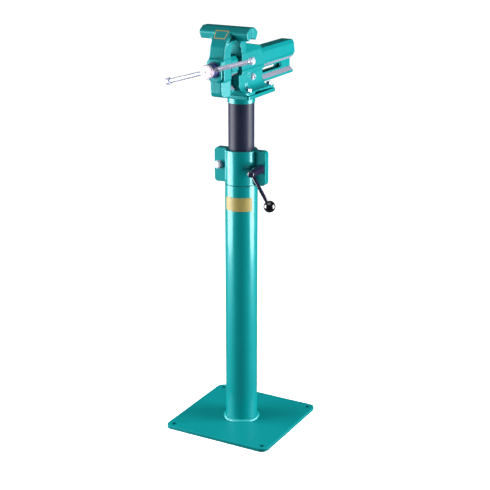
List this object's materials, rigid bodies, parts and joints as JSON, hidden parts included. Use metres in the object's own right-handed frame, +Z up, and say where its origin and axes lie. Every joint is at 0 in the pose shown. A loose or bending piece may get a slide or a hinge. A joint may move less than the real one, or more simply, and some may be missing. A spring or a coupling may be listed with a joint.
{
  "type": "bench vise on a height-adjustable floor stand",
  "caption": "Floor stand with a square base plate, a column, a lifting and turning mast locked by a split clamp collar with a ball lever, and a bench vise on top.",
  "frame": {"origin": "centre of the four floor holes on the base plate's underside", "axes": "+Z up along the column, +X along the jaws, -Y towards the spindle's handle, +Y towards the rear of the slide bar"},
  "size_m": [0.32, 0.4463, 1.132],
  "materials": {
    "paint": "smooth turquoise enamel",
    "dark_coat": "dark slate coating, satin",
    "brass_plate": "brushed",
    "polymer": "plain guide polymer",
    "zinc": "bright zinc plated",
    "black_metal": "black, satin",
    "black_plastic": "polished black",
    "steel": "turned steel",
    "chrome": "polished",
    "blue_ring": "dark blue, glossy"
  },
  "bodies": {
    "stand": {"base_plate": "paint", "foot_weld": "paint", "column_tube": "paint", "name_plate": "brass_plate", "guide_bush": "polymer", "collar_rear_half": "paint", "collar_front_half": "paint", "collar_bolt": "zinc", "collar_bolt_nut": "zinc", "collar_washers": "zinc", "clamp_stud": "zinc", "spring_foot": "steel", "spring_cylinder": "dark_coat", "spring_gland": "steel"},
    "lift": {"spring_rod": "chrome", "spring_piston": "steel", "bearing_lower_washer": "steel", "bearing_balls": "chrome", "bearing_cage": "brass_plate"},
    "mast": {"bearing_upper_washer": "steel", "mast_tube": "dark_coat", "mast_plug": "steel", "mast_guide_ring": "polymer", "cap_ring": "paint", "top_plate": "paint", "vise_body": "paint", "vise_bolts": "zinc", "vise_washers": "zinc", "vise_nuts": "zinc", "cross_bolt": "chrome", "cross_bolt_nut": "zinc", "spindle_nut": "steel"},
    "front_jaw": {"front_jaw": "paint", "slide_bar": "paint", "spindle_ring": "blue_ring"},
    "spindle": {"spindle": "chrome", "spindle_retainer": "steel"},
    "handle": {"handle_bar": "chrome", "handle_caps": "chrome"},
    "clamp_lever": {"lever_hub": "black_metal", "lever_arm": "black_metal", "ball_knob": "black_plastic"}
  },
  "joints": [
    {"name": "mast_lift", "type": "slide", "parent": "stand", "child": "lift", "axis": [0, 0, 1], "range_m": [-0.125, 0.175]},
    {"name": "mast_turn", "type": "hinge", "parent": "lift", "child": "mast", "pos_m": [0, 0, 0.5], "axis": [0, 0, 1], "continuous": true},
    {"name": "jaw_slide", "type": "slide", "parent": "mast", "child": "front_jaw", "axis": [0, -1, 0], "range_m": [0, 0.2]},
    {"name": "spindle_turn", "type": "hinge", "parent": "front_jaw", "child": "spindle", "pos_m": [0, -0.15, 1.03], "axis": [0, -1, 0], "range_deg": [0, 11999]},
    {"name": "handle_slide", "type": "slide", "parent": "spindle", "child": "handle", "axis": [0.9593, 0, 0.2823], "range_m": [-0.1, 0.1]},
    {"name": "lever_turn", "type": "hinge", "parent": "stand", "child": "clamp_lever", "pos_m": [0.06179, -0.00911, 0.748], "axis": [0.0698, -0.9976, 0], "range_deg": [0, 90]}
  ],
  "couplings": [
    {"joint": "jaw_slide", "follows": "spindle_turn", "m_per_rad": 0.00095493}
  ]
}
